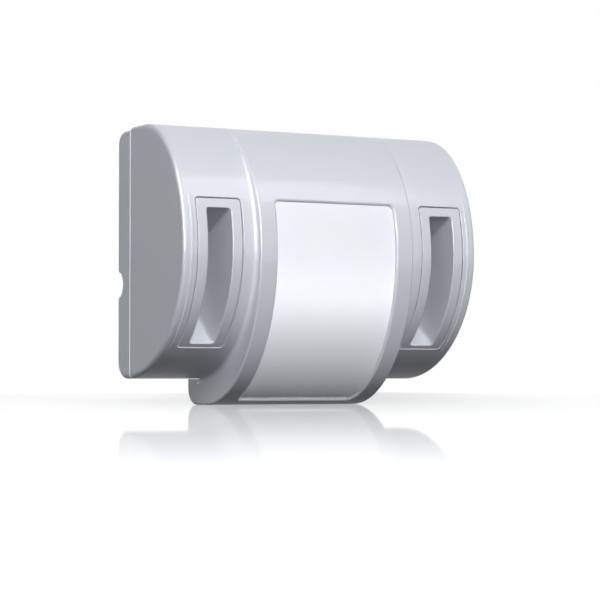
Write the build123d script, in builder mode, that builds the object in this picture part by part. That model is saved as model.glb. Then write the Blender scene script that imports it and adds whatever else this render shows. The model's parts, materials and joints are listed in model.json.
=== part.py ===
from build123d import *
import os
from math import cos, radians, sin, tan

# Glass break sensor: a D-shaped wall housing with a raised centre band, a white curved window
# and two sound ports. The flat back lies on the wall plane Y = 0, the nose points to -Y, Z is up,
# and the origin is the middle of the back, level with the nose. Sizes are in millimetres.

# Driving dimensions of the body
body_width = 131.0          # along X
body_depth = 62.0           # wall to nose, beside the band
body_rise = 50.0            # nose line to the top
body_fall = 50.0            # nose line to the underside
top_run = 24.0              # level part of the top, from the wall
bottom_run = 9.0            # level part of the underside, from the wall
end_edge_radius = 1.7       # rounded rim of each end cap
wall = 2.2                  # moulded wall of the cover and the housing
floor_wall = 2.2            # back plate of the housing

# Parting joint between housing and cover
housing_depth = 12.0
seal_thickness = 0.9
seal_inset = 0.25           # the seal stands back from the outer faces by this
housing_top_step = 0.9      # the housing's top is this much lower than the cover's
housing_top_radius = 5.5    # rounded rear top edge
housing_bottom_radius = 7.2  # rounded rear bottom edge
lip_length = 2.5            # inner lip of the cover, reaching into the housing
lip_thickness = 1.2
lip_root = 3.0              # length of the lip's root on the cover wall
fit_gap = 0.15              # clearance between parts that slide together
seat_gap = 0.05             # clearance between parts that are pressed together
cut_margin = 1.0            # cuts run past the surface by this

# Raised centre band and its foot below the body
band_width = 68.4
band_stand = 3.1            # the band stands in front of the body's nose by this
band_top_drop = 0.3         # the band starts just under the body's top
foot_drop = 10.5            # body's underside to the foot's underside
band_bottom_run = 17.6
band_edge_radius = 0.8
foot_corner_radius = 7.0
cove_radius = 2.0           # hollow where the band rises from the body
cove_bite = 0.12            # the hollow starts this far under the body's surface
cove_steps = 5              # sections from the body's surface up to the band

# Window opening and the window
window_width = 53.2
window_top = 18.6
window_sill = 2.9           # foot's underside to the bottom of the opening
window_corner_radius = 2.0
window_edge_radius = 0.8
window_recess = 1.4
window_thickness = 1.4
window_gap = 0.15           # between the window and the edge of its opening
window_flange_reach = 2.4
window_flange_thickness = 1.0
window_flange_bottom = -40.0
retainer_thickness = 1.6
retainer_bar = 5.0
retainer_top = 22.4
retainer_bottom = -43.0

# Sound ports, mirrored left and right; their top and bottom walls point at one pivot line
port_margin = 6.3           # end of the body to the port frame
port_frame_width = 18.8
port_slot_width = 10.4
pivot_depth = 12.6
pivot_height = -7.3
frame_top_angle = 29.5
frame_bottom_angle = -44.4
slot_top_angle = 25.5
slot_bottom_angle = -41.8
port_gap = 0.35             # groove round the port frame
port_corner_radius = 1.3
slot_corner_radius = 1.2
slot_edge_radius = 0.45
port_edge_radius = 0.3      # outer edge of the frame and of its opening
port_inset = 0.15
port_plate = 2.3
port_flange_reach = 1.8
port_flange_thickness = 1.2
horn_wall = 1.4
horn_floor_depth = 20.0     # wall plane to the floor of the slot
throat_radius = 2.5

# Raised bead beside each port
bead_margin = 3.7           # end of the body to the middle of the bead
bead_half_width = 0.6
bead_height = 0.45
bead_top = 25.0
bead_bottom = -42.0
bead_fade = 1.6             # how far the ends sink, in bead heights
bead_evenness = 6           # higher keeps the crest level for longer
bead_points = 7             # points along the crest
bead_edge_radius = 0.4

# Holes and notches of the housing
cable_notch_radius = 4.9
cable_notch_height = -12.4
cable_notch_length = 8.0
cable_notch_edge = 0.8
wall_hole_spacing_x = 84.0
wall_hole_spacing_z = 80.0
wall_hole_middle_z = -2.0
wall_hole_radius = 2.25
wall_pad_radius = 4.6
wall_pad_height = 1.2
cable_hole_width = 24.0
cable_hole_height = 10.0
cable_hole_middle_z = 38.0
cable_hole_corner = 2.0
floor_rib_heights = (12.0, -26.0)  # middles of the stiffening ribs, along Z
floor_rib_thickness = 1.2
floor_rib_rise = 1.6        # above the housing's floor

# Circuit board and what stands on it
board_margin = 7.5          # end of the body to the board
board_top = 30.0
board_bottom = -36.0
board_thickness = 1.6
board_back = 9.0            # wall plane to the board's back
board_corner_radius = 3.0
board_hole_margin = 4.5     # board edge to the middle of a screw hole
board_post_radius = 3.2
board_screw_radius = 1.1
board_screw_head_radius = 2.4
board_screw_head_height = 1.6
board_screw_head_edge = 0.5
board_screw_length = 6.0
driver_slot_width = 0.6
driver_slot_depth = 0.6
pilot_extra = 0.6           # the pilot hole is longer than the screw by this
thread_gap = 0.05

mic_radius = 4.85
mic_height = 6.5
can_edge = 0.4              # bevelled rim of the microphones and of the motion sensor
mic_hole_radius = 1.0
boot_radius = 6.3
boot_front = 1.2
screen_radius = 4.2
screen_thickness = 0.3

terminal_ways = 8
terminal_pitch = 3.8
terminal_depth = 8.0
terminal_height = 9.5
terminal_x = -14.0
terminal_z = 24.0
terminal_screw_radius = 1.3
terminal_screw_height = 2.0
terminal_screw_sink = 1.0   # the screws lie this far inside the block
terminal_chamfer = 1.5
terminal_entry_width = 2.4
terminal_entry_height = 2.8
terminal_entry_depth = 4.5
terminal_entry_lift = 3.0   # board to the middle of a wire entry

pyro_x = 0.0
pyro_z = -6.0
pyro_radius = 4.1
pyro_height = 4.2
pyro_flange_radius = 4.6
pyro_flange_height = 0.6
pyro_filter_width = 4.6
pyro_filter_height = 3.6
pyro_filter_thickness = 0.5

tamper_x = 20.0
tamper_z = 25.4
tamper_width = 12.8
tamper_breadth = 5.8
tamper_height = 6.5
plunger_radius = 1.2
plunger_stand = 1.1
plunger_length = 4.0
plunger_travel = 0.4
plunger_gap = 0.05
tamper_post_radius = 2.0
tamper_post_taper = 0.8     # degrees
tamper_post_sink = 1.0      # the post ends this far under the band's surface

trimmer_x = -30.0
trimmer_z = 8.0
trimmer_size = 6.6
trimmer_height = 4.6
rotor_radius = 2.3
rotor_height = 1.4
rotor_stand = 0.2           # the rotor stands out of the trimmer by this
rotor_gap = 0.05
rotor_slot_width = 0.7
rotor_slot_length = 3.2
rotor_slot_depth = 0.7

chip_x = 16.0
chip_z = 6.0
chip_size = 10.0
chip_height = 1.5
chip_lead_count = 8
chip_lead_pitch = 1.0
chip_lead_width = 0.4
chip_lead_reach = 1.0
chip_lead_thickness = 0.3
chip_lift = 0.1             # board to the underside of the body
chip_mark_radius = 0.5      # dimple at pin one
chip_mark_depth = 0.15
chip_mark_offset = 3.5      # middle of the body to the dimple, both ways

relay_x = -26.0
relay_z = -22.0
relay_width = 15.0
relay_breadth = 10.2
relay_height = 11.0
relay_edge_radius = 0.5

capacitor_count = 2
capacitor_x = 22.0
capacitor_z = -24.0
capacitor_pitch = 11.0
capacitor_radius = 4.0
capacitor_height = 11.5
capacitor_groove_height = 1.6  # board to the crimped groove
capacitor_groove_depth = 0.3

led_x = 0.0
led_z = 12.0
led_radius = 1.5
led_flange_radius = 1.9
led_flange_height = 0.8
led_height = 5.2
led_dome_radius = 1.35

jumper_x = 29.0
jumper_z = 8.0
jumper_ways = 3
jumper_pitch = 2.54
jumper_body_height = 2.5
jumper_pin_height = 8.5
jumper_pin_width = 0.64
jumper_cap_height = 5.0
jumper_cap_gap = 0.05
jumper_rows = 2

# Cover screw in the foot
cover_screw_y = -7.0
cover_screw_radius = 1.45
cover_screw_head_radius = 3.0
cover_screw_head_height = 2.4
cover_screw_length = 17.0
cover_screw_cross = 3.2
cover_screw_cross_depth = 1.2
cover_screw_sink = 1.0      # the head lies this far inside the foot
screw_boss_radius = 4.5
housing_boss_radius = 3.6
housing_boss_height = 9.0

# Catches that hook the cover's top to the housing, and the release slot in the foot
catch_x = 30.0
catch_width = 10.0
catch_thickness = 1.4
catch_length = 5.0
catch_rise = 0.7
catch_nib = 1.5             # length of the hooked end
release_slot_middle = 11.1  # wall plane to the middle of the slot
release_slot_drop = 1.8     # below the body's underside
release_slot_length = 4.2
release_slot_height = 0.8
release_slot_depth = 0.8

# Worked out from the driving dimensions
half_width = body_width / 2
band_half = band_width / 2
band_depth = body_depth + band_stand
band_rise = body_rise - band_top_drop
band_fall = body_fall + foot_drop
window_bottom = window_sill - band_fall
port_middle = half_width - port_margin - port_frame_width / 2
bead_middle = half_width - bead_margin
board_width = body_width - 2 * board_margin
board_hole_x = board_width / 2 - board_hole_margin
board_hole_top = board_top - board_hole_margin
board_hole_bottom = board_bottom + board_hole_margin
cover_back = housing_depth + seal_thickness
mouth_start = (horn_floor_depth + body_depth) / 2
board_front = board_back + board_thickness
horn_back_depth = horn_floor_depth - horn_wall
port_start_x = port_middle - port_frame_width / 2
slot_start_x = port_middle - port_slot_width / 2
lip_top = body_rise - housing_top_step - wall - fit_gap
foot_top = -body_fall - fit_gap
sides = (-1, 1)
board_holes = [(side * board_hole_x, z) for side in sides for z in (board_hole_top, board_hole_bottom)]


def front_plane(depth):
    """Plane that faces the front, at a depth from the wall."""
    return Plane(origin=(0, -depth, 0), x_dir=(1, 0, 0), z_dir=(0, -1, 0))


def d_outline(x, depth, rise, fall, upper_run, lower_run, back=0.0):
    """Closed D in the plane X = x: level top and underside joined by two quarter ellipses."""
    with BuildSketch(Plane.YZ.offset(x), mode=Mode.PRIVATE) as outline:
        with BuildLine():
            upper = EllipticalCenterArc((-upper_run, 0), depth - upper_run, rise, start_angle=90)
            lower = EllipticalCenterArc((-lower_run, 0), depth - lower_run, fall, start_angle=180)
            Polyline(lower @ 1, (-back, -fall), (-back, rise), upper @ 0)
        make_face()
    return outline.sketch


def body_outline(x=0.0, inset=0.0, top_step=0.0, back=0.0):
    """The body's section, moved inwards by the inset."""
    return d_outline(
        x, body_depth - inset, body_rise - inset - top_step, body_fall - inset, top_run, bottom_run, back
    )


def band_outline(x=0.0, inset=0.0, back=0.0):
    """The centre band's section, moved inwards by the inset."""
    return d_outline(
        x, band_depth - inset, band_rise - inset, band_fall - inset, top_run, band_bottom_run, back
    )


def ray_height(angle, depth, spread=0.0):
    """Height, at a depth from the wall, of a ray from the pivot line moved sideways by the spread."""
    return pivot_height + (depth - pivot_depth) * tan(radians(angle)) + spread / cos(radians(angle))


def sector(low_angle, high_angle, start, spread=0.0):
    """Side view of the space between two rays, from a depth to well in front of the body."""
    reach = band_depth + cut_margin
    Polygon(
        (-start, ray_height(high_angle, start, spread)),
        (-reach, ray_height(high_angle, reach, spread)),
        (-reach, ray_height(low_angle, reach, -spread)),
        (-start, ray_height(low_angle, start, -spread)),
        align=None,
    )


def slanted(edges):
    """Straight edges that run along the rays."""
    return edges.filter_by(Axis.X, reverse=True).filter_by(Axis.Z, reverse=True)


def mouth_edges(edges, depth):
    """Edges of a cut that lie on the curved front, without the seam along the nose line."""
    ahead = edges.filter_by(lambda edge: edge.center().Y < -depth)
    level = ahead.filter_by(Axis.X).filter_by(lambda edge: abs(edge.center().Z) > cut_margin)
    return level + ahead.filter_by(GeomType.LINE, reverse=True)


# Sound ports
# Slot of the right port, a funnel between two rays
with BuildPart() as port_slot:
    with BuildSketch(Plane.YZ.offset(slot_start_x)):
        sector(slot_bottom_angle, slot_top_angle, horn_floor_depth)
    extrude(amount=port_slot_width)
    fillet(slanted(port_slot.edges()), slot_corner_radius)

# Openings in the cover for both port frames, with the groove all round
with BuildPart() as port_openings:
    with BuildSketch(Plane.YZ.offset(port_start_x - port_gap)):
        sector(frame_bottom_angle, frame_top_angle, horn_floor_depth, port_gap)
    extrude(amount=port_frame_width + 2 * port_gap)
    fillet(slanted(port_openings.edges()), port_corner_radius + port_gap)
    mirror(about=Plane.YZ)

# Flange of the port frame, behind the cover's wall
with BuildPart() as port_flange:
    with BuildSketch(Plane.YZ.offset(port_start_x - port_flange_reach)):
        sector(frame_bottom_angle, frame_top_angle, horn_floor_depth, port_flange_reach)
    extrude(amount=port_frame_width + 2 * port_flange_reach)
    extrude(body_outline(inset=wall + fit_gap), amount=half_width, mode=Mode.INTERSECT)
    extrude(
        body_outline(inset=wall + fit_gap + port_flange_thickness), amount=half_width, mode=Mode.SUBTRACT
    )

# Horn behind the face, back to the microphone
with BuildPart() as port_horn:
    with BuildSketch(Plane.YZ.offset(slot_start_x - horn_wall)):
        sector(slot_bottom_angle, slot_top_angle, horn_back_depth, horn_wall)
    extrude(amount=port_slot_width + 2 * horn_wall)
    extrude(body_outline(inset=wall), amount=half_width, mode=Mode.INTERSECT)

# Right port frame: face plate, flange and horn in one moulding
slot_floor_top = ray_height(slot_top_angle, horn_floor_depth)
slot_floor_bottom = ray_height(slot_bottom_angle, horn_floor_depth)
throat_height = (slot_floor_top + slot_floor_bottom) / 2
with BuildPart() as right_port_frame:
    with BuildSketch(Plane.YZ.offset(port_start_x)):
        sector(frame_bottom_angle, frame_top_angle, horn_floor_depth)
    extrude(amount=port_frame_width)
    fillet(slanted(right_port_frame.edges()), port_corner_radius)
    extrude(body_outline(inset=port_inset), amount=half_width, mode=Mode.INTERSECT)
    fillet(mouth_edges(right_port_frame.edges(), mouth_start), port_edge_radius)
    extrude(body_outline(inset=port_inset + port_plate), amount=half_width, mode=Mode.SUBTRACT)
    add(port_flange.part)
    add(port_horn.part)
    add(port_slot.part, mode=Mode.SUBTRACT)
    slot_rims = right_port_frame.edges(Select.LAST)
    fillet(mouth_edges(slot_rims, mouth_start), slot_edge_radius)
    with BuildSketch(front_plane(horn_back_depth)):
        with Locations((port_middle, throat_height)):
            Circle(throat_radius)
    extrude(amount=2 * horn_wall, mode=Mode.SUBTRACT)

with BuildPart() as left_port_frame:
    mirror(right_port_frame.part, about=Plane.YZ)

# Cloth screens on the floor of each slot
with BuildPart() as right_dust_screen:
    with BuildSketch(front_plane(horn_floor_depth)):
        with Locations((port_middle, throat_height)):
            Circle(screen_radius)
    extrude(amount=screen_thickness)

with BuildPart() as left_dust_screen:
    mirror(right_dust_screen.part, about=Plane.YZ)

# Front cover
# Centre band with its foot, before it joins the cover
with BuildPart() as band_form:
    extrude(band_outline(x=-band_half), amount=band_width)
    foot_corner = band_form.edges().filter_by(Axis.X).group_by(Axis.Z)[0].sort_by(Axis.Y)[-1]
    fillet(foot_corner, foot_corner_radius)
    side_rims = band_form.faces().filter_by(Axis.X).edges()
    fillet(side_rims.filter_by(lambda edge: edge.center().Z < band_rise - cut_margin), band_edge_radius)

# Hollow fillet from the body's surface up to the band
with BuildPart() as cove_form:
    for side in sides:
        sections = []
        for step in range(cove_steps):
            turn = radians(90 * step / (cove_steps - 1))
            rise = cove_radius * (1 - cos(turn))
            run_out = band_half + cove_radius * (1 - sin(turn))
            sections.append(body_outline(x=side * run_out, inset=cove_bite - rise))
        loft(sections, ruled=True)
    extrude(
        band_outline(x=-half_width, inset=band_edge_radius), amount=body_width, mode=Mode.INTERSECT
    )

# Bead beside the right port, which rises from the surface and sinks back into it
with BuildPart() as bead_form:
    with BuildSketch(Plane.YZ.offset(bead_middle - bead_half_width)):
        with BuildLine():
            crest_points = []
            for index in range(bead_points):
                share = index / (bead_points - 1)
                height = bead_bottom + (bead_top - bead_bottom) * share
                lift = bead_height * (1 - bead_fade * (2 * share - 1) ** bead_evenness)
                run, limit = (top_run, body_rise) if height > 0 else (bottom_run, body_fall)
                depth = run + (body_depth - run) * (1 - (height / limit) ** 2) ** 0.5
                crest_points.append((-depth - lift, height))
            crest = Spline(*crest_points)
            Polyline(crest @ 1, (-body_depth / 2, bead_top), (-body_depth / 2, bead_bottom), crest @ 0)
        make_face()
    extrude(amount=2 * bead_half_width)
    bead_rims = bead_form.edges().filter_by(GeomType.BSPLINE)
    fillet(bead_rims, bead_edge_radius)

# Room inside the cover and inside the foot
with BuildPart() as cover_room:
    extrude(body_outline(x=wall - half_width, inset=wall), amount=body_width - 2 * wall)
    extrude(band_outline(x=wall - band_half, inset=wall, back=wall), amount=band_width - 2 * wall)
    inner_corner = cover_room.edges().filter_by(Axis.X).group_by(Axis.Z)[0].sort_by(Axis.Y)[-1]
    fillet(inner_corner, foot_corner_radius - wall)

# Lip inside the cover's rear edge, which reaches into the housing
with BuildPart() as lip_form:
    lip_inset = wall + fit_gap
    extrude(
        body_outline(x=lip_inset - half_width, inset=lip_inset, top_step=housing_top_step),
        amount=body_width - 2 * lip_inset,
    )
    split(bisect_by=front_plane(cover_back - lip_length), keep=Keep.TOP)
    root_inset = wall - fit_gap
    with BuildSketch(front_plane(cover_back)):
        with Locations((0, 0)):
            Rectangle(body_width - 2 * root_inset, 2 * (body_rise - root_inset))
    extrude(amount=lip_root)
    split(bisect_by=front_plane(cover_back + lip_root), keep=Keep.BOTTOM)
    inner_inset = lip_inset + lip_thickness
    extrude(
        body_outline(x=inner_inset - half_width, inset=inner_inset, top_step=housing_top_step),
        amount=body_width - 2 * inner_inset,
        mode=Mode.SUBTRACT,
    )
    # open above the foot
    with BuildSketch(front_plane(0)):
        with Locations((0, -body_fall)):
            Rectangle(band_width - 2 * wall, body_fall)
    extrude(amount=body_depth, mode=Mode.SUBTRACT)

# Catches that hook the cover under the housing's top wall
catch_tip = cover_back - catch_length
with BuildPart() as catch_form:
    for side in sides:
        with BuildSketch(Plane.YZ.offset(side * catch_x - catch_width / 2)):
            Polygon(
                (-cover_back - lip_root, lip_top - catch_thickness),
                (-cover_back - lip_root, lip_top),
                (-catch_tip - catch_nib, lip_top),
                (-catch_tip - catch_nib, lip_top + catch_rise),
                (-catch_tip, lip_top),
                (-catch_tip, lip_top - catch_thickness),
                align=None,
            )
        extrude(amount=catch_width)

# Boss in the foot for the cover screw
with BuildPart() as foot_boss:
    with BuildSketch(Plane.XY.offset(-band_fall)):
        with Locations((0, cover_screw_y)):
            Circle(screw_boss_radius)
    extrude(amount=band_fall + foot_top)
    add(band_form.part, mode=Mode.INTERSECT)

# Post that holds the tamper switch down while the cover is on
tamper_top_depth = board_front + tamper_height + plunger_stand
with BuildPart() as tamper_post:
    with BuildSketch(front_plane(tamper_top_depth)):
        with Locations((tamper_x, tamper_z)):
            Circle(tamper_post_radius)
    extrude(amount=band_depth - tamper_top_depth, taper=-tamper_post_taper)
    extrude(
        band_outline(x=-band_half, inset=tamper_post_sink), amount=band_width, mode=Mode.INTERSECT
    )

# The cover itself
with BuildPart() as front_cover:
    extrude(body_outline(x=-half_width), amount=body_width)
    end_rims = front_cover.faces().filter_by(Axis.X).edges()
    fillet(end_rims.filter_by(lambda edge: edge.center().Y < -cut_margin), end_edge_radius)
    add(port_openings.part, mode=Mode.SUBTRACT)
    port_rims = front_cover.edges(Select.LAST)
    fillet(mouth_edges(port_rims, mouth_start), port_edge_radius)
    add(cove_form.part)
    add(bead_form.part)
    mirror(bead_form.part, about=Plane.YZ)
    split(bisect_by=front_plane(cover_back), keep=Keep.TOP)
    add(band_form.part)
    # behind the parting joint the cover keeps only its foot
    with BuildSketch(front_plane(0)):
        with Locations((0, (body_rise + foot_top) / 2 + cut_margin)):
            Rectangle(body_width, body_rise - foot_top + 2 * cut_margin)
    extrude(amount=cover_back, mode=Mode.SUBTRACT)
    # window opening
    with BuildSketch(front_plane(horn_floor_depth)):
        with Locations((0, (window_top + window_bottom) / 2)):
            RectangleRounded(window_width, window_top - window_bottom, window_corner_radius)
    extrude(amount=band_depth, mode=Mode.SUBTRACT)
    window_rims = front_cover.edges(Select.LAST)
    fillet(mouth_edges(window_rims, horn_floor_depth + cut_margin), window_edge_radius)
    # inside
    add(cover_room.part, mode=Mode.SUBTRACT)
    add(lip_form.part)
    add(catch_form.part)
    add(foot_boss.part)
    add(tamper_post.part)
    # head recess and clearance hole for the cover screw
    screw_seat = -band_fall + cover_screw_sink + cover_screw_head_height
    with BuildSketch(Plane.XY.offset(screw_seat)):
        with Locations((0, cover_screw_y)):
            Circle(cover_screw_head_radius + fit_gap)
    extrude(amount=-cover_screw_head_height - cover_screw_sink - cut_margin, mode=Mode.SUBTRACT)
    with BuildSketch(Plane.XY.offset(screw_seat)):
        with Locations((0, cover_screw_y)):
            Circle(cover_screw_radius + thread_gap)
    extrude(amount=cover_screw_length, mode=Mode.SUBTRACT)
    # slot for a screwdriver blade in the left side of the foot
    with BuildSketch(Plane.YZ.offset(-band_half)):
        with Locations((-release_slot_middle, -body_fall - release_slot_drop)):
            Rectangle(release_slot_length, release_slot_height)
    extrude(amount=release_slot_depth, mode=Mode.SUBTRACT)

# Seal in the joint between the cover and the housing
seal_height = body_rise + body_fall - housing_top_step
with BuildPart() as housing_seal:
    with BuildSketch(front_plane(housing_depth)):
        with Locations((0, seal_height / 2 - body_fall)):
            RectangleRounded(
                body_width - 2 * seal_inset, seal_height - 2 * seal_inset, end_edge_radius - seal_inset
            )
            Rectangle(body_width - 2 * wall, seal_height - 2 * wall, mode=Mode.SUBTRACT)
    extrude(amount=seal_thickness)

# Back housing
# Cable notch at the right end, with a rounded mouth
with BuildPart() as cable_notch:
    with BuildSketch(Plane.XY.offset(cable_notch_height)):
        with BuildLine():
            mouth_start = half_width - cable_notch_edge
            mouth_top = cable_notch_radius + cable_notch_edge
            Polyline(
                (mouth_start, cable_notch_radius),
                (half_width - cable_notch_length, cable_notch_radius),
                (half_width - cable_notch_length, 0),
                (half_width + cut_margin, 0),
                (half_width + cut_margin, mouth_top),
                (half_width, mouth_top),
            )
            RadiusArc((mouth_start, cable_notch_radius), (half_width, mouth_top), cable_notch_edge)
        make_face()
    revolve(axis=Axis((0, 0, cable_notch_height), (1, 0, 0)))

# Room inside the housing
with BuildPart() as housing_room:
    extrude(
        body_outline(x=wall - half_width, inset=wall, top_step=housing_top_step, back=floor_wall),
        amount=body_width - 2 * wall,
    )
    rear_lines = housing_room.faces().sort_by(Axis.Y)[-1].edges().filter_by(Axis.X).sort_by(Axis.Z)
    fillet(rear_lines[-1], housing_top_radius - wall)
    rear_lines = housing_room.faces().sort_by(Axis.Y)[-1].edges().filter_by(Axis.X).sort_by(Axis.Z)
    fillet(rear_lines[0], housing_bottom_radius - wall)

# Bosses, pads and posts that stand on the housing's floor
post_start = floor_wall / 2
with BuildPart() as housing_posts:
    with BuildSketch(front_plane(post_start)):
        with Locations(*board_holes):
            Circle(board_post_radius)
    extrude(amount=board_back - post_start)
    with BuildSketch(front_plane(post_start)):
        with Locations((0, wall_hole_middle_z)):
            with GridLocations(wall_hole_spacing_x, wall_hole_spacing_z, 2, 2):
                Circle(wall_pad_radius)
    extrude(amount=floor_wall + wall_pad_height - post_start)
    with BuildSketch(Plane.XY.offset(wall / 2 - body_fall)):
        with Locations((0, cover_screw_y)):
            Circle(housing_boss_radius)
    extrude(amount=wall / 2 + housing_boss_height)

# Stiffening ribs across the housing's floor
with BuildPart() as floor_ribs:
    with BuildSketch(front_plane(post_start)):
        for height in floor_rib_heights:
            with Locations((0, height)):
                Rectangle(body_width - wall, floor_rib_thickness)
    extrude(amount=floor_wall + floor_rib_rise - post_start)

with BuildPart() as back_housing:
    extrude(body_outline(x=-half_width, top_step=housing_top_step), amount=body_width)
    rear_lines = back_housing.faces().sort_by(Axis.Y)[-1].edges().filter_by(Axis.X).sort_by(Axis.Z)
    fillet(rear_lines[-1], housing_top_radius)
    rear_lines = back_housing.faces().sort_by(Axis.Y)[-1].edges().filter_by(Axis.X).sort_by(Axis.Z)
    fillet(rear_lines[0], housing_bottom_radius)
    fillet(back_housing.faces().filter_by(Axis.X).edges(), end_edge_radius)
    split(bisect_by=front_plane(housing_depth), keep=Keep.BOTTOM)
    add(housing_room.part, mode=Mode.SUBTRACT)
    add(housing_posts.part)
    add(floor_ribs.part)
    add(cable_notch.part, mode=Mode.SUBTRACT)
    mirror(cable_notch.part, about=Plane.YZ, mode=Mode.SUBTRACT)
    # pilot holes for the board screws
    with BuildSketch(front_plane(board_front - board_screw_length - pilot_extra)):
        with Locations(*board_holes):
            Circle(board_screw_radius + thread_gap)
    extrude(amount=board_back, mode=Mode.SUBTRACT)
    # holes for the wall screws
    with BuildSketch(front_plane(0)):
        with Locations((0, wall_hole_middle_z)):
            with GridLocations(wall_hole_spacing_x, wall_hole_spacing_z, 2, 2):
                Circle(wall_hole_radius)
        # cable hole behind the board
        with Locations((0, cable_hole_middle_z)):
            RectangleRounded(cable_hole_width, cable_hole_height, cable_hole_corner)
    extrude(amount=floor_wall + wall_pad_height, mode=Mode.SUBTRACT)
    # hole for the cover screw
    with BuildSketch(Plane.XY.offset(-body_fall)):
        with Locations((0, cover_screw_y)):
            Circle(cover_screw_radius + thread_gap)
    extrude(amount=wall + housing_boss_height, mode=Mode.SUBTRACT)
    # recesses that the catches hook into
    for side in sides:
        with BuildSketch(Plane.YZ.offset(side * catch_x - catch_width / 2 - fit_gap)):
            with Locations((-catch_tip - catch_nib / 2, lip_top)):
                Rectangle(catch_nib + 2 * fit_gap, 2 * (catch_rise + fit_gap))
        extrude(amount=catch_width + 2 * fit_gap, mode=Mode.SUBTRACT)

# Window and its retainer
with BuildPart() as window_pane:
    pane_half = window_width / 2 - window_gap
    extrude(band_outline(x=-pane_half, inset=window_recess), amount=2 * pane_half)
    extrude(
        band_outline(x=-pane_half, inset=window_recess + window_thickness),
        amount=2 * pane_half,
        mode=Mode.SUBTRACT,
    )
    with BuildSketch(front_plane(horn_floor_depth)):
        with Locations((0, (window_top + window_bottom) / 2)):
            RectangleRounded(
                2 * pane_half,
                window_top - window_bottom - 2 * window_gap,
                window_corner_radius - window_gap,
            )
    extrude(amount=band_depth, mode=Mode.INTERSECT)

# Flange of the window, behind the cover's wall
with BuildPart() as window_flange:
    flange_half = window_width / 2 + window_flange_reach
    flange_top = window_top + window_flange_reach
    extrude(band_outline(x=-flange_half, inset=wall + seat_gap), amount=2 * flange_half)
    extrude(
        band_outline(x=-flange_half, inset=wall + seat_gap + window_flange_thickness),
        amount=2 * flange_half,
        mode=Mode.SUBTRACT,
    )
    with BuildSketch(front_plane(horn_floor_depth)):
        with Locations((0, (flange_top + window_flange_bottom) / 2)):
            RectangleRounded(2 * flange_half, flange_top - window_flange_bottom, window_corner_radius)
    extrude(amount=band_depth, mode=Mode.INTERSECT)

with BuildPart() as sensor_window:
    add(window_pane.part)
    add(window_flange.part)

# Frame that presses the window's flange against the cover
with BuildPart() as window_retainer:
    retainer_half = band_half - wall - fit_gap
    retainer_inset = wall + 2 * seat_gap + window_flange_thickness
    extrude(band_outline(x=-retainer_half, inset=retainer_inset), amount=2 * retainer_half)
    extrude(
        band_outline(x=-retainer_half, inset=retainer_inset + retainer_thickness),
        amount=2 * retainer_half,
        mode=Mode.SUBTRACT,
    )
    retainer_height = retainer_top - retainer_bottom
    with BuildSketch(front_plane(horn_floor_depth)):
        with Locations((0, (retainer_top + retainer_bottom) / 2)):
            RectangleRounded(2 * retainer_half, retainer_height, window_corner_radius)
            Rectangle(
                2 * (retainer_half - retainer_bar),
                retainer_height - 2 * retainer_bar,
                mode=Mode.SUBTRACT,
            )
    extrude(amount=band_depth, mode=Mode.INTERSECT)

# Circuit board and its screws
with BuildPart() as main_board:
    with BuildSketch(front_plane(board_back)):
        with Locations((0, (board_top + board_bottom) / 2)):
            RectangleRounded(board_width, board_top - board_bottom, board_corner_radius)
        with Locations(*board_holes):
            Circle(board_screw_radius + thread_gap, mode=Mode.SUBTRACT)
    extrude(amount=board_thickness)

with BuildPart() as board_screws:
    with BuildSketch(front_plane(board_front)):
        with Locations(*board_holes):
            Circle(board_screw_head_radius)
    extrude(amount=board_screw_head_height)
    with BuildSketch(front_plane(board_front)):
        with Locations(*board_holes):
            Circle(board_screw_radius)
    extrude(amount=-board_screw_length)
    head_faces = board_screws.faces().sort_by(Axis.Y)[: len(board_holes)]
    chamfer(head_faces.edges(), board_screw_head_edge)
    with BuildSketch(front_plane(board_front + board_screw_head_height)):
        with Locations(*board_holes):
            Rectangle(2 * board_screw_head_radius, driver_slot_width)
    extrude(amount=-driver_slot_depth, mode=Mode.SUBTRACT)

# Microphones in rubber boots behind the horns
with BuildPart() as right_microphone:
    with BuildSketch(front_plane(board_front)):
        with Locations((port_middle, throat_height)):
            Circle(mic_radius)
    extrude(amount=mic_height)
    chamfer(right_microphone.faces().sort_by(Axis.Y)[0].edges(), can_edge)
    with BuildSketch(front_plane(board_front + mic_height)):
        with Locations((port_middle, throat_height)):
            Circle(mic_hole_radius)
    extrude(amount=-can_edge, mode=Mode.SUBTRACT)

with BuildPart() as left_microphone:
    mirror(right_microphone.part, about=Plane.YZ)

with BuildPart() as right_mic_boot:
    with BuildSketch(front_plane(board_front)):
        with Locations((port_middle, throat_height)):
            Circle(boot_radius)
    extrude(amount=horn_back_depth - board_front)
    with BuildSketch(front_plane(board_front)):
        with Locations((port_middle, throat_height)):
            Circle(mic_radius + seat_gap)
    extrude(amount=horn_back_depth - board_front - boot_front, mode=Mode.SUBTRACT)
    with BuildSketch(front_plane(board_front)):
        with Locations((port_middle, throat_height)):
            Circle(throat_radius)
    extrude(amount=horn_back_depth - board_front, mode=Mode.SUBTRACT)

with BuildPart() as left_mic_boot:
    mirror(right_mic_boot.part, about=Plane.YZ)

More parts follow.
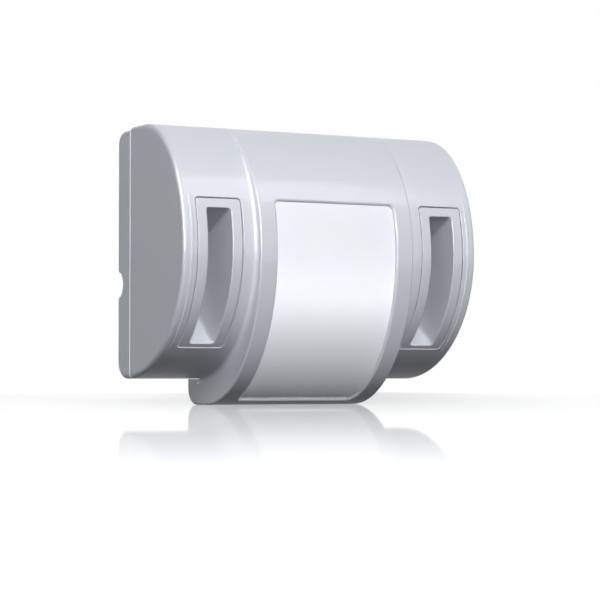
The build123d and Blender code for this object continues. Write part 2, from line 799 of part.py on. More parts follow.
# Terminal block with a wire entry and a screw for each way
terminal_front = board_front + terminal_height
with BuildPart() as terminal_block:
    with BuildSketch(front_plane(board_front)):
        with Locations((terminal_x, terminal_z)):
            Rectangle(terminal_ways * terminal_pitch, terminal_depth)
    extrude(amount=terminal_height)
    upper_front = terminal_block.faces().sort_by(Axis.Y)[0].edges().sort_by(Axis.Z)[-1]
    chamfer(upper_front, terminal_chamfer)
    with BuildSketch(Plane.XY.offset(terminal_z + terminal_depth / 2)):
        with Locations((terminal_x, -board_front - terminal_entry_lift)):
            with GridLocations(terminal_pitch, 1, terminal_ways, 1):
                Rectangle(terminal_entry_width, terminal_entry_height)
    extrude(amount=-terminal_entry_depth, mode=Mode.SUBTRACT)
    with BuildSketch(front_plane(terminal_front)):
        with Locations((terminal_x, terminal_z)):
            with GridLocations(terminal_pitch, 1, terminal_ways, 1):
                Circle(terminal_screw_radius + thread_gap)
    extrude(amount=-terminal_screw_height - terminal_screw_sink, mode=Mode.SUBTRACT)

with BuildPart() as terminal_screws:
    with BuildSketch(front_plane(terminal_front - terminal_screw_sink)):
        with Locations((terminal_x, terminal_z)):
            with GridLocations(terminal_pitch, 1, terminal_ways, 1):
                Circle(terminal_screw_radius)
    extrude(amount=-terminal_screw_height)
    with BuildSketch(front_plane(terminal_front - terminal_screw_sink)):
        with Locations((terminal_x, terminal_z)):
            with GridLocations(terminal_pitch, 1, terminal_ways, 1):
                Rectangle(2 * terminal_screw_radius, driver_slot_width)
    extrude(amount=-driver_slot_depth, mode=Mode.SUBTRACT)

# Tamper switch and its plunger, which the cover's post holds down
tamper_front = board_front + tamper_height
with BuildPart() as tamper_switch:
    with BuildSketch(front_plane(board_front)):
        with Locations((tamper_x, tamper_z)):
            Rectangle(tamper_width, tamper_breadth)
    extrude(amount=tamper_height)
    with BuildSketch(front_plane(tamper_front)):
        with Locations((tamper_x, tamper_z)):
            Circle(plunger_radius + plunger_gap)
    extrude(amount=plunger_stand - plunger_length - plunger_travel - plunger_gap, mode=Mode.SUBTRACT)

with BuildPart() as tamper_plunger:
    with BuildSketch(front_plane(tamper_front + plunger_stand)):
        with Locations((tamper_x, tamper_z)):
            Circle(plunger_radius)
    extrude(amount=-plunger_length)

# Sensitivity trimmer and its rotor
trimmer_front = board_front + trimmer_height
with BuildPart() as sensitivity_trimmer:
    with BuildSketch(front_plane(board_front)):
        with Locations((trimmer_x, trimmer_z)):
            Rectangle(trimmer_size, trimmer_size)
    extrude(amount=trimmer_height)
    with BuildSketch(front_plane(trimmer_front)):
        with Locations((trimmer_x, trimmer_z)):
            Circle(rotor_radius + rotor_gap)
    extrude(amount=rotor_stand - rotor_height, mode=Mode.SUBTRACT)

with BuildPart() as trimmer_rotor:
    with BuildSketch(front_plane(trimmer_front + rotor_stand)):
        with Locations((trimmer_x, trimmer_z)):
            Circle(rotor_radius)
    extrude(amount=-rotor_height)
    with BuildSketch(front_plane(trimmer_front + rotor_stand)):
        with Locations((trimmer_x, trimmer_z)):
            Rectangle(rotor_slot_length, rotor_slot_width)
            Rectangle(rotor_slot_width, rotor_slot_length)
    extrude(amount=-rotor_slot_depth, mode=Mode.SUBTRACT)

# Motion sensor: a metal can with a filter in its front
pyro_front = board_front + pyro_height
with BuildPart() as pyro_sensor:
    with BuildSketch(front_plane(board_front)):
        with Locations((pyro_x, pyro_z)):
            Circle(pyro_flange_radius)
    extrude(amount=pyro_flange_height)
    with BuildSketch(front_plane(board_front)):
        with Locations((pyro_x, pyro_z)):
            Circle(pyro_radius)
    extrude(amount=pyro_height)
    chamfer(pyro_sensor.faces().sort_by(Axis.Y)[0].edges(), can_edge)
    with BuildSketch(front_plane(pyro_front)):
        with Locations((pyro_x, pyro_z)):
            Rectangle(pyro_filter_width, pyro_filter_height)
    extrude(amount=-pyro_filter_thickness, mode=Mode.SUBTRACT)

with BuildPart() as pyro_filter:
    with BuildSketch(front_plane(pyro_front)):
        with Locations((pyro_x, pyro_z)):
            Rectangle(pyro_filter_width, pyro_filter_height)
    extrude(amount=-pyro_filter_thickness)

# Microcontroller with leads on all four sides
with BuildPart() as microcontroller:
    with BuildSketch(front_plane(board_front + chip_lift)):
        with Locations((chip_x, chip_z)):
            Rectangle(chip_size, chip_size)
    extrude(amount=chip_height)
    with BuildSketch(front_plane(board_front + chip_lift + chip_height)):
        with Locations((chip_x - chip_mark_offset, chip_z + chip_mark_offset)):
            Circle(chip_mark_radius)
    extrude(amount=-chip_mark_depth, mode=Mode.SUBTRACT)
    lead_row = chip_size + 2 * chip_lead_reach
    with BuildSketch(front_plane(board_front)):
        with Locations((chip_x, chip_z)):
            with GridLocations(chip_lead_pitch, 1, chip_lead_count, 1):
                Rectangle(chip_lead_width, lead_row)
            with GridLocations(1, chip_lead_pitch, 1, chip_lead_count):
                Rectangle(lead_row, chip_lead_width)
    extrude(amount=chip_lead_thickness)

# Alarm relay
with BuildPart() as alarm_relay:
    with BuildSketch(front_plane(board_front)):
        with Locations((relay_x, relay_z)):
            Rectangle(relay_width, relay_breadth)
    extrude(amount=relay_height)
    fillet(alarm_relay.faces().sort_by(Axis.Y)[0].edges(), relay_edge_radius)

# Two can capacitors with a crimped groove near the board
with BuildPart() as capacitors:
    for index in range(capacitor_count):
        with BuildSketch(Plane.XY.offset(capacitor_z)):
            with BuildLine():
                middle = capacitor_x + index * capacitor_pitch
                outside = middle + capacitor_radius
                neck = outside - capacitor_groove_depth
                groove = board_front + capacitor_groove_height
                Polyline(
                    (middle, -board_front),
                    (outside, -board_front),
                    (outside, -groove + capacitor_groove_depth),
                    (neck, -groove),
                    (outside, -groove - capacitor_groove_depth),
                    (outside, -board_front - capacitor_height),
                    (middle, -board_front - capacitor_height),
                    close=True,
                )
            make_face()
        revolve(axis=Axis((middle, 0, capacitor_z), (0, 1, 0)))

# Indicator lamp behind the window
with BuildPart() as indicator_led:
    with BuildSketch(front_plane(board_front)):
        with Locations((led_x, led_z)):
            Circle(led_flange_radius)
    extrude(amount=led_flange_height)
    with BuildSketch(front_plane(board_front)):
        with Locations((led_x, led_z)):
            Circle(led_radius)
    extrude(amount=led_height)
    fillet(indicator_led.faces().sort_by(Axis.Y)[0].edges(), led_dome_radius)

# Jumper header and the caps on its pins
with BuildPart() as jumper_header:
    with BuildSketch(front_plane(board_front)):
        with Locations((jumper_x, jumper_z)):
            Rectangle(jumper_rows * jumper_pitch, jumper_ways * jumper_pitch)
    extrude(amount=jumper_body_height)
    with BuildSketch(front_plane(board_front)):
        with Locations((jumper_x, jumper_z)):
            with GridLocations(jumper_pitch, jumper_pitch, jumper_rows, jumper_ways):
                Rectangle(jumper_pin_width, jumper_pin_width)
    extrude(amount=jumper_pin_height)

cap_start = board_front + jumper_body_height
with BuildPart() as jumper_caps:
    with BuildSketch(front_plane(cap_start)):
        with Locations((jumper_x, jumper_z)):
            with GridLocations(jumper_pitch, jumper_pitch, 1, jumper_ways):
                Rectangle(jumper_rows * jumper_pitch - jumper_cap_gap, jumper_pitch - 2 * jumper_cap_gap)
    extrude(amount=jumper_cap_height)
    with BuildSketch(front_plane(cap_start)):
        with Locations((jumper_x, jumper_z)):
            with GridLocations(jumper_pitch, jumper_pitch, jumper_rows, jumper_ways):
                Rectangle(jumper_pin_width + 2 * jumper_cap_gap, jumper_pin_width + 2 * jumper_cap_gap)
    extrude(amount=jumper_cap_height, mode=Mode.SUBTRACT)

# Screw that holds the cover's foot to the housing
with BuildPart() as cover_screw:
    with BuildSketch(Plane.XY.offset(screw_seat)):
        with Locations((0, cover_screw_y)):
            Circle(cover_screw_head_radius)
    extrude(amount=-cover_screw_head_height)
    with BuildSketch(Plane.XY.offset(screw_seat)):
        with Locations((0, cover_screw_y)):
            Circle(cover_screw_radius)
    extrude(amount=cover_screw_length)
    with BuildSketch(Plane.XY.offset(screw_seat - cover_screw_head_height)):
        with Locations((0, cover_screw_y)):
            Rectangle(cover_screw_cross, driver_slot_width)
            Rectangle(driver_slot_width, cover_screw_cross)
    extrude(amount=cover_screw_cross_depth, mode=Mode.SUBTRACT)

# Every piece in its own file
pieces = {
    "back_housing": back_housing,
    "housing_seal": housing_seal,
    "front_cover": front_cover,
    "sensor_window": sensor_window,
    "window_retainer": window_retainer,
    "left_port_frame": left_port_frame,
    "right_port_frame": right_port_frame,
    "left_dust_screen": left_dust_screen,
    "right_dust_screen": right_dust_screen,
    "left_mic_boot": left_mic_boot,
    "right_mic_boot": right_mic_boot,
    "left_microphone": left_microphone,
    "right_microphone": right_microphone,
    "main_board": main_board,
    "board_screws": board_screws,
    "terminal_block": terminal_block,
    "terminal_screws": terminal_screws,
    "tamper_switch": tamper_switch,
    "tamper_plunger": tamper_plunger,
    "sensitivity_trimmer": sensitivity_trimmer,
    "trimmer_rotor": trimmer_rotor,
    "pyro_sensor": pyro_sensor,
    "pyro_filter": pyro_filter,
    "microcontroller": microcontroller,
    "alarm_relay": alarm_relay,
    "capacitors": capacitors,
    "indicator_led": indicator_led,
    "jumper_header": jumper_header,
    "jumper_caps": jumper_caps,
    "cover_screw": cover_screw,
}
os.makedirs("parts", exist_ok=True)
for name, piece in pieces.items():
    piece.part.label = name
    export_step(piece.part, f"parts/{name}.step")
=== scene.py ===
import json
import math

import bpy
from mathutils import Matrix, Vector


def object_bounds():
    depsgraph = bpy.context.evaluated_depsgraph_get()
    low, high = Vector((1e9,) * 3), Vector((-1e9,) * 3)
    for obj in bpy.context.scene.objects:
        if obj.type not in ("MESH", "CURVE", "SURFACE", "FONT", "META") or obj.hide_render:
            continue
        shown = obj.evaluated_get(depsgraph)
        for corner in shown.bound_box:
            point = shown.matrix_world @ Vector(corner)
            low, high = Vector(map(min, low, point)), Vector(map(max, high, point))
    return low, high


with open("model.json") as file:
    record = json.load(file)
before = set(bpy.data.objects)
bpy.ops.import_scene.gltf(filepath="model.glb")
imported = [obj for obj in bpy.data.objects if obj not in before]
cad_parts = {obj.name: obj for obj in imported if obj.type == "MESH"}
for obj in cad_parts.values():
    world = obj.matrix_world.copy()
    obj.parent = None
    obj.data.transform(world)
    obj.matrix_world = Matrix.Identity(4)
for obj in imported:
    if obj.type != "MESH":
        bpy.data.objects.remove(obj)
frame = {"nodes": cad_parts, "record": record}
cad_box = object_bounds()
nodes = frame["nodes"]

MM = 0.001
WHITE = (1.0, 1.0, 1.0, 1.0)
OBJECT_MIDDLE = Vector((0.0, -0.03, 0.0))

# Camera, fitted to the photograph
IMAGE_SIDE = 600                      # of the photograph, in pixels
CAMERA_TURN = math.radians(28.52)     # the camera stands to the left of the front
CAMERA_RISE = 0.0355                  # and looks up by this, in radians
CAMERA_DISTANCE = 903.83 * MM
CAMERA_FOCUS = 2150.46                # focal length in pixels
CAMERA_TARGET = Vector((18.061, 0.0, -17.005)) * MM
SENSOR_WIDTH = 36.0                   # millimetres, as the lens is
CLIP_NEAR = 0.01
CLIP_FAR = 50.0

# Grain of the moulded plastics; lengths in metres
GRAIN_SIZE = 0.0006
GRAIN_DEPTH = 0.15                    # strength of the relief
GRAIN_DETAIL = 3.0
RELIEF_HEIGHT = 0.00002
MOTTLE = 0.03                         # how far light and dark stray from the colour
MOTTLE_SCALE = 55.0
MOTTLE_DETAIL = 4.0
MOTTLE_ROUGHNESS = 2.0                # how much more the roughness strays
SATIN_ROUGHNESS = 0.5
SATIN_SPECULAR = 0.15
COAT_WEIGHT = 0.2
COAT_ROUGHNESS = 0.16

# Board and cloth
WEAVE_SCALE = 260.0
WEAVE_DARK = (0.03, 0.16, 0.07, 1.0)
WEAVE_LIGHT = (0.035, 0.19, 0.085, 1.0)
WEAVE_SEAM = (0.06, 0.28, 0.12, 1.0)
WEAVE_SEAM_WIDTH = 0.03
LACQUER_ROUGHNESS = 0.3
CLOTH_SCALE = 4000.0
CLOTH_DARK = (0.02, 0.02, 0.02, 1.0)
CLOTH_LIGHT = (0.05, 0.05, 0.05, 1.0)
CLOTH_ROUGHNESS = 0.9

# Floor; lengths in metres, and radii from the spot under the object
FLOOR_HEIGHT = min(corner[2] for corner in cad_box)
FLOOR_REACH = 6.0                     # half of its side
FLOOR_PAINT = 0.30                    # how light the floor is to the eye
FLOOR_BOUNCE = 0.04                   # and to the light that it throws back on the object
FLOOR_ROUGHNESS = 0.9
FLOOR_GLOW = 0.72                     # what is added to the eye near the object
GLOW_RADII = (0.5, 1.1)               # it rises to white over this
FLOOR_POLISH = 0.46                   # share of the mirror image near the object
POLISH_RADII = (0.36, 0.76)           # it fades to nothing over this
POLISH_ROUGHNESS = 0.03
PAINTED_SHADOW_MIDDLE = (0.165, 0.250)          # painted soft shadow that reaches back from the object
PAINTED_SHADOW_LENGTH = 0.75
PAINTED_SHADOW_WIDTH = 0.135
PAINTED_SHADOW_DEPTH = 0.6                      # how much the painted shadow darkens the floor at its middle

# World and lamps; lengths in metres
AIR_LOW = 0.02                        # light on the object from the horizon and below
AIR_HIGH = 0.08                       # and from overhead
AIR_RISE = (0.0, 0.8)                 # heights in the sky between which it grows
LAMP_TINT = (0.94, 0.97, 1.0)
LAMP_DISTANCE = 1.2


def srgb(red, green, blue):
    """Linear colour of an 8-bit display colour."""
    def linear(value):
        value = value / 255
        return value / 12.92 if value <= 0.04045 else ((value + 0.055) / 1.055) ** 2.4
    return (linear(red), linear(green), linear(blue), 1.0)


def computed(tree, operation, *values):
    """Result of a maths node, whose values are sockets or plain numbers."""
    node = tree.nodes.new("ShaderNodeMath")
    node.operation = operation
    for socket, value in zip(node.inputs, values):
        if isinstance(value, bpy.types.NodeSocket):
            tree.links.new(value, socket)
        else:
            socket.default_value = value
    return node.outputs[0]


def ramp(tree, value, span, levels):
    """Smooth step of a value from one level to another, over a span of it."""
    step = tree.nodes.new("ShaderNodeMapRange")
    step.interpolation_type = "SMOOTHSTEP"
    step.inputs["From Min"].default_value, step.inputs["From Max"].default_value = span
    step.inputs["To Min"].default_value, step.inputs["To Max"].default_value = levels
    tree.links.new(value, step.inputs["Value"])
    return step.outputs["Result"]


# Finishes
def build_spark_grain():
    """Fine grain of a spark-eroded mould: a little light and dark, and a shallow relief."""
    group = bpy.data.node_groups.new("spark_grain", "ShaderNodeTree")
    for label, kind, default in (
        ("Colour", "NodeSocketColor", (0.5, 0.5, 0.5, 1.0)),
        ("Roughness", "NodeSocketFloat", SATIN_ROUGHNESS),
        ("Grain Size", "NodeSocketFloat", GRAIN_SIZE),
        ("Grain Depth", "NodeSocketFloat", GRAIN_DEPTH),
        ("Mottle", "NodeSocketFloat", MOTTLE),
    ):
        socket = group.interface.new_socket(name=label, in_out="INPUT", socket_type=kind)
        socket.default_value = default
    for label, kind in (
        ("Colour", "NodeSocketColor"),
        ("Roughness", "NodeSocketFloat"),
        ("Normal", "NodeSocketVector"),
    ):
        group.interface.new_socket(name=label, in_out="OUTPUT", socket_type=kind)
    start = group.nodes.new("NodeGroupInput")
    end = group.nodes.new("NodeGroupOutput")
    make = group.nodes.new
    link = group.links.new
    place = make("ShaderNodeTexCoord")

    grain = make("ShaderNodeTexNoise")
    grain.inputs["Detail"].default_value = GRAIN_DETAIL
    link(place.outputs["Object"], grain.inputs["Vector"])
    link(computed(group, "DIVIDE", 1.0, start.outputs["Grain Size"]), grain.inputs["Scale"])
    bump = make("ShaderNodeBump")
    bump.inputs["Distance"].default_value = RELIEF_HEIGHT
    link(start.outputs["Grain Depth"], bump.inputs["Strength"])
    link(grain.outputs["Fac"], bump.inputs["Height"])

    clouds = make("ShaderNodeTexNoise")
    clouds.inputs["Scale"].default_value = MOTTLE_SCALE
    clouds.inputs["Detail"].default_value = MOTTLE_DETAIL
    link(place.outputs["Object"], clouds.inputs["Vector"])
    centred = computed(group, "SUBTRACT", clouds.outputs["Fac"], 0.5)
    amount = computed(group, "MULTIPLY", centred, start.outputs["Mottle"])
    tinted = make("ShaderNodeVectorMath")
    tinted.operation = "SCALE"
    link(start.outputs["Colour"], tinted.inputs[0])
    link(computed(group, "ADD", amount, 1.0), tinted.inputs["Scale"])
    rough = computed(group, "MULTIPLY_ADD", amount, MOTTLE_ROUGHNESS, start.outputs["Roughness"])

    link(tinted.outputs[0], end.inputs["Colour"])
    link(rough, end.inputs["Roughness"])
    link(bump.outputs["Normal"], end.inputs["Normal"])
    return group


SPARK_GRAIN = build_spark_grain()


def new_finish(name):
    """A material, its node tree and its Principled shader."""
    material = bpy.data.materials.new(name)
    material.use_nodes = True
    tree = material.node_tree
    return material, tree, tree.nodes["Principled BSDF"]


def moulded(name, colour, roughness, size=GRAIN_SIZE, depth=GRAIN_DEPTH, mottle=MOTTLE, **levels):
    """Moulded plastic with the mould's grain; levels are other inputs of its shader."""
    material, tree, shader = new_finish(name)
    grain = tree.nodes.new("ShaderNodeGroup")
    grain.node_tree = SPARK_GRAIN
    grain.inputs["Colour"].default_value = colour
    grain.inputs["Roughness"].default_value = roughness
    grain.inputs["Grain Size"].default_value = size
    grain.inputs["Grain Depth"].default_value = depth
    grain.inputs["Mottle"].default_value = mottle
    tree.links.new(grain.outputs["Colour"], shader.inputs["Base Color"])
    tree.links.new(grain.outputs["Roughness"], shader.inputs["Roughness"])
    tree.links.new(grain.outputs["Normal"], shader.inputs["Normal"])
    for label, level in levels.items():
        shader.inputs[label.replace("_", " ")].default_value = level
    return material


def painted(name, colour):
    """Satin plastic of the housing: a broad soft sheen under a thin clear skin."""
    return moulded(
        name, colour, SATIN_ROUGHNESS,
        Specular_IOR_Level=SATIN_SPECULAR, Coat_Weight=COAT_WEIGHT, Coat_Roughness=COAT_ROUGHNESS,
    )


def lens_plastic(name):
    """Smooth milky plastic of the window, which lets a little light into its skin."""
    return moulded(
        name, srgb(243, 243, 245), SATIN_ROUGHNESS, depth=0.03, mottle=0.01,
        Specular_IOR_Level=SATIN_SPECULAR, Subsurface_Weight=0.15,
        Subsurface_Radius=(1.0, 0.9, 0.8), Subsurface_Scale=0.001,
    )


def brushed(name, colour, roughness):
    """Plated or drawn metal with fine scratches."""
    return moulded(name, colour, roughness, size=0.0002, depth=0.3, mottle=0.08, Metallic=1.0)


def board_lacquer(name):
    """Green lacquer of the board over the weave of its glass cloth."""
    material, tree, shader = new_finish(name)
    make = tree.nodes.new
    link = tree.links.new
    place = make("ShaderNodeTexCoord")
    upright = make("ShaderNodeMapping")
    upright.inputs["Rotation"].default_value = (math.pi / 2, 0.0, 0.0)
    link(place.outputs["Object"], upright.inputs["Vector"])
    weave = make("ShaderNodeTexBrick")
    weave.inputs["Scale"].default_value = WEAVE_SCALE
    weave.inputs["Color1"].default_value = WEAVE_DARK
    weave.inputs["Color2"].default_value = WEAVE_LIGHT
    weave.inputs["Mortar"].default_value = WEAVE_SEAM
    weave.inputs["Mortar Size"].default_value = WEAVE_SEAM_WIDTH
    link(upright.outputs["Vector"], weave.inputs["Vector"])
    link(weave.outputs["Color"], shader.inputs["Base Color"])
    shader.inputs["Roughness"].default_value = LACQUER_ROUGHNESS
    return material


def acoustic_cloth(name):
    """Woven cloth that lets sound through."""
    material, tree, shader = new_finish(name)
    make = tree.nodes.new
    link = tree.links.new
    place = make("ShaderNodeTexCoord")
    weave = make("ShaderNodeTexChecker")
    weave.inputs["Scale"].default_value = CLOTH_SCALE
    weave.inputs["Color1"].default_value = CLOTH_DARK
    weave.inputs["Color2"].default_value = CLOTH_LIGHT
    link(place.outputs["Object"], weave.inputs["Vector"])
    link(weave.outputs["Color"], shader.inputs["Base Color"])
    shader.inputs["Roughness"].default_value = CLOTH_ROUGHNESS
    return material


SHELL_COLOUR = srgb(205, 207, 212)
FINISHES = {
    "shell": painted("shell_plastic", SHELL_COLOUR),
    "frame_plastic": painted("port_plastic", SHELL_COLOUR),
    "seal": moulded("seal_rubber", srgb(250, 250, 252), 0.7),
    "window": lens_plastic("lens_plastic"),
    "retainer": moulded("retainer_plastic", srgb(45, 45, 47), 0.5),
    "screen_cloth": acoustic_cloth("acoustic_cloth"),
    "boot_rubber": moulded("boot_rubber", srgb(38, 38, 38), 0.8),
    "microphone_can": brushed("microphone_aluminium", srgb(200, 200, 202), 0.35),
    "board": board_lacquer("board_lacquer"),
    "screw_steel": brushed("zinc_plate", srgb(190, 190, 195), 0.3),
    "terminal_plastic": moulded("terminal_plastic", srgb(52, 120, 66), 0.45),
    "switch_plastic": moulded("switch_plastic", srgb(40, 40, 42), 0.45),
    "button_plastic": moulded("button_nylon", srgb(232, 230, 222), 0.4),
    "trimmer_plastic": moulded("trimmer_plastic", srgb(50, 92, 190), 0.4),
    "can_metal": brushed("nickel_can", srgb(205, 205, 205), 0.25),
    "filter_glass": moulded("filter_coating", srgb(60, 55, 68), 0.1, depth=0.0),
    "chip_plastic": moulded("chip_resin", srgb(30, 30, 30), 0.55),
    "relay_plastic": moulded("relay_plastic", srgb(228, 228, 224), 0.4),
    "capacitor_can": moulded("capacitor_sleeve", srgb(35, 35, 48), 0.35),
    "lamp_plastic": moulded("lamp_resin", srgb(200, 40, 30), 0.15, depth=0.0),
    "pin_plastic": moulded("header_plastic", srgb(28, 28, 28), 0.5),
}

for part in frame["record"]["subparts"]:
    mesh = nodes[part["node"]].data
    mesh.materials.clear()
    mesh.materials.append(FINISHES[part["material_slot"]])


def second_finish(node, finish, belongs):
    """Give a second finish to the faces of a node whose middle and normal pass a test."""
    mesh = nodes[node].data
    mesh.materials.append(finish)
    last = len(mesh.materials) - 1
    for face in mesh.polygons:
        if belongs(face.center, face.normal):
            face.material_index = last


SLACK = 0.05 * MM                     # for faces that lie right on a border
BOARD_FRONT = -10.6 * MM
HEADER_FRONT = BOARD_FRONT - 2.5 * MM
CAN_FRONT = BOARD_FRONT - 11.5 * MM
CHIP_MIDDLE = Vector((16.0, 0.0, 6.0)) * MM
CHIP_HALF = 5.0 * MM


def past_chip(middle):
    """Whether a point lies beyond the microcontroller's square body."""
    reach = max(abs(middle.x - CHIP_MIDDLE.x), abs(middle.z - CHIP_MIDDLE.z))
    return reach > CHIP_HALF + SLACK


TINNED = brushed("tinned_leads", srgb(205, 205, 208), 0.3)
GILT = brushed("gilt_pins", srgb(214, 178, 96), 0.25)
BARE_CAN = brushed("bare_aluminium", srgb(208, 209, 212), 0.32)
LAMINATE = moulded("glass_laminate", srgb(196, 186, 128), 0.6, mottle=0.1)
second_finish("jumper_header", GILT, lambda middle, normal: middle.y < HEADER_FRONT - 2 * SLACK)
second_finish("microcontroller", TINNED, lambda middle, normal: past_chip(middle))
second_finish("capacitors", BARE_CAN, lambda middle, normal: middle.y < CAN_FRONT + SLACK)
second_finish("main_board", LAMINATE, lambda middle, normal: abs(normal.y) < 0.5)


# Stage: a pale floor that the object stands on, and soft studio light
def white_to_eye(tree):
    """1 for rays that show the background, 0 for those that light the object."""
    seen = tree.nodes.new("ShaderNodeLightPath").outputs
    either = computed(tree, "MAXIMUM", seen["Is Camera Ray"], seen["Is Glossy Ray"])
    return computed(tree, "MAXIMUM", either, seen["Is Transmission Ray"])


def build_floor():
    """Pale, slightly glossy floor that looks white, keeps the object's shadow and reflection, and
    has a soft shadow painted on around the object.
    """
    mesh = bpy.data.meshes.new("studio_floor")
    corners = [
        (side * FLOOR_REACH, end * FLOOR_REACH, FLOOR_HEIGHT)
        for side, end in ((-1, -1), (1, -1), (1, 1), (-1, 1))
    ]
    mesh.from_pydata(corners, [], [(0, 1, 2, 3)])
    floor = bpy.data.objects.new("studio_floor", mesh)
    bpy.context.scene.collection.objects.link(floor)
    material, tree, shader = new_finish("floor_paint")
    mesh.materials.append(material)
    make = tree.nodes.new
    link = tree.links.new
    place = make("ShaderNodeTexCoord").outputs["Object"]
    seen = make("ShaderNodeLightPath").outputs
    away = make("ShaderNodeVectorMath")
    away.operation = "DISTANCE"
    away.inputs[1].default_value = (OBJECT_MIDDLE.x, OBJECT_MIDDLE.y, FLOOR_HEIGHT)
    link(place, away.inputs[0])
    radius = away.outputs["Value"]

    paint = make("ShaderNodeMix")
    paint.data_type = "RGBA"
    paint.inputs["A"].default_value = (FLOOR_PAINT, FLOOR_PAINT, FLOOR_PAINT, 1.0)
    paint.inputs["B"].default_value = (FLOOR_BOUNCE, FLOOR_BOUNCE, FLOOR_BOUNCE, 1.0)
    link(seen["Is Diffuse Ray"], paint.inputs["Factor"])
    link(paint.outputs["Result"], shader.inputs["Base Color"])
    shader.inputs["Roughness"].default_value = FLOOR_ROUGHNESS
    shader.inputs["Specular IOR Level"].default_value = 0.0

    # Painted shadow: the floor seen by the eye is darkened in a long soft ellipse around the
    # object, drawn in by position and not cast by any lamp
    painted_shadow_shape = make("ShaderNodeMapping")
    painted_shadow_shape.vector_type = "TEXTURE"
    painted_shadow_shape.inputs["Location"].default_value = (*PAINTED_SHADOW_MIDDLE, FLOOR_HEIGHT)
    painted_shadow_shape.inputs["Rotation"].default_value = (0.0, 0.0, -CAMERA_TURN)
    painted_shadow_shape.inputs["Scale"].default_value = (PAINTED_SHADOW_WIDTH, PAINTED_SHADOW_LENGTH, 1.0)
    link(place, painted_shadow_shape.inputs["Vector"])
    spread = make("ShaderNodeVectorMath")
    spread.operation = "LENGTH"
    link(painted_shadow_shape.outputs["Vector"], spread.inputs[0])
    painted_shadow = ramp(tree, spread.outputs["Value"], (0.0, 1.0), (1.0 - PAINTED_SHADOW_DEPTH, 1.0))
    bright = computed(tree, "MULTIPLY", painted_shadow, ramp(tree, radius, GLOW_RADII, (FLOOR_GLOW, 1.0)))
    glow = computed(tree, "MULTIPLY", white_to_eye(tree), bright)
    shader.inputs["Emission Color"].default_value = WHITE
    link(glow, shader.inputs["Emission Strength"])

    polish = make("ShaderNodeBsdfGlossy")
    polish.inputs["Roughness"].default_value = POLISH_ROUGHNESS
    polish.inputs["Color"].default_value = WHITE
    fading = ramp(tree, radius, POLISH_RADII, (FLOOR_POLISH, 0.0))
    blend = make("ShaderNodeMixShader")
    link(computed(tree, "MULTIPLY", fading, seen["Is Camera Ray"]), blend.inputs["Fac"])
    link(shader.outputs["BSDF"], blend.inputs[1])
    link(polish.outputs["BSDF"], blend.inputs[2])
    link(blend.outputs["Shader"], tree.nodes["Material Output"].inputs["Surface"])


def build_world():
    """Studio air: white behind the object, and on it a soft light from above."""
    world = bpy.data.worlds.new("studio_air")
    bpy.context.scene.world = world
    world.use_nodes = True
    tree = world.node_tree
    make = tree.nodes.new
    link = tree.links.new
    place = make("ShaderNodeTexCoord")
    sky = make("ShaderNodeSeparateXYZ")
    link(place.outputs["Generated"], sky.inputs["Vector"])
    air = tree.nodes["Background"]
    air.inputs["Color"].default_value = WHITE
    link(ramp(tree, sky.outputs["Z"], AIR_RISE, (AIR_LOW, AIR_HIGH)), air.inputs["Strength"])
    backdrop = make("ShaderNodeBackground")
    backdrop.inputs["Color"].default_value = WHITE
    backdrop.inputs["Strength"].default_value = 1.0
    choose = make("ShaderNodeMixShader")
    link(white_to_eye(tree), choose.inputs["Fac"])
    link(air.outputs["Background"], choose.inputs[1])
    link(backdrop.outputs["Background"], choose.inputs[2])
    link(choose.outputs["Shader"], tree.nodes["World Output"].inputs["Surface"])


def add_softbox(name, turn, rise, width, height, power, shadow=True, gloss=True, diffuse=True):
    """Rectangular lamp that points at the object.

    It turns from the front towards +X and rises above the level, both in degrees. Without
    diffuse it only makes highlights, and without gloss it makes none.
    """
    lamp = bpy.data.lights.new(name, "AREA")
    lamp.shape = "RECTANGLE"
    lamp.size = width
    lamp.size_y = height
    lamp.energy = power
    lamp.use_shadow = shadow
    lamp.color = LAMP_TINT
    box = bpy.data.objects.new(name, lamp)
    bpy.context.scene.collection.objects.link(box)
    box.visible_camera = False
    box.visible_diffuse = diffuse
    box.visible_glossy = gloss
    turn = math.radians(turn)
    rise = math.radians(rise)
    level = math.cos(rise)
    ahead = Vector((math.sin(turn) * level, -math.cos(turn) * level, math.sin(rise)))
    place = OBJECT_MIDDLE + ahead * LAMP_DISTANCE
    box.location = place
    box.rotation_euler = (OBJECT_MIDDLE - place).to_track_quat("-Z", "Y").to_euler()
    return box


def flag_window(box, state):
    """Keep a lamp off the window, or on it alone, as a black flag beside the lamp would."""
    group = bpy.data.collections.new(box.name + "_flag")
    group.objects.link(nodes["sensor_window"])
    group.collection_objects[0].light_linking.link_state = state
    box.light_linking.receiver_collection = group


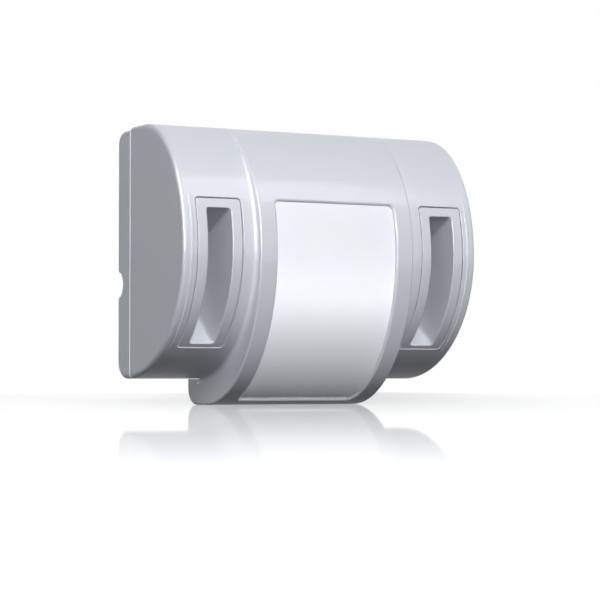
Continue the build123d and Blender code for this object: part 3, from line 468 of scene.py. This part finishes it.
def build_lamps():
    """Key, fills and highlights: sizes in metres, power in watts."""
    # A third of the key casts no shadow, so that light reaches into the sound slots
    key = {"turn": -10.0, "rise": 27.0, "width": 0.7, "height": 0.45}
    flag_window(add_softbox("key_softbox", **key, power=9.6), "EXCLUDE")
    flag_window(add_softbox("key_fill", **key, power=4.8, shadow=False), "EXCLUDE")

    # The window has a key and a highlight of its own, to be white without clipping
    window_key = {"turn": -10.0, "rise": 10.0, "width": 0.5, "height": 0.3}
    flag_window(add_softbox("window_softbox", **window_key, power=10.0), "INCLUDE")
    window_sheen = {"turn": 28.0, "rise": -21.0, "width": 0.5, "height": 0.25}
    sheen = add_softbox("window_sheen", **window_sheen, power=68.0, shadow=False, diffuse=False)
    flag_window(sheen, "INCLUDE")

    left = {"turn": -50.0, "rise": 28.0, "width": 0.4, "height": 0.4}
    add_softbox("left_fill", **left, power=4.3, shadow=False)
    right = {"turn": 110.0, "rise": 12.0, "width": 0.5, "height": 0.5}
    add_softbox("right_fill", **right, power=7.5, gloss=False)
    back = {"turn": 180.0, "rise": 10.0, "width": 0.7, "height": 0.5}
    add_softbox("back_fill", **back, power=6.5, gloss=False)

    # Highlights along the rims and across the band
    strip = {"turn": -58.0, "rise": 25.0, "width": 0.9, "height": 1.2}
    add_softbox("edge_strip", **strip, power=130.0, diffuse=False)
    front = {"turn": 30.0, "rise": 44.0, "width": 0.5, "height": 0.35}
    add_softbox("front_sheen", **front, power=6.5, diffuse=False)


def build_camera():
    """Camera fitted to the photograph."""
    lens = bpy.data.cameras.new("photo_camera")
    lens.sensor_fit = "HORIZONTAL"
    lens.sensor_width = SENSOR_WIDTH
    lens.lens = CAMERA_FOCUS / IMAGE_SIDE * SENSOR_WIDTH
    lens.clip_start = CLIP_NEAR
    lens.clip_end = CLIP_FAR
    camera = bpy.data.objects.new("photo_camera", lens)
    bpy.context.scene.collection.objects.link(camera)
    ahead = Vector((
        math.sin(CAMERA_TURN) * math.cos(CAMERA_RISE),
        math.cos(CAMERA_TURN) * math.cos(CAMERA_RISE),
        math.sin(CAMERA_RISE),
    ))
    right = Vector((math.cos(CAMERA_TURN), -math.sin(CAMERA_TURN), 0.0))
    up = right.cross(ahead)
    axes = Matrix((right, up, -ahead)).transposed().to_4x4()
    camera.matrix_world = Matrix.Translation(CAMERA_TARGET - ahead * CAMERA_DISTANCE) @ axes
    bpy.context.scene.camera = camera


build_floor()
build_world()
build_lamps()
build_camera()
bpy.context.scene.view_settings.view_transform = "Standard"
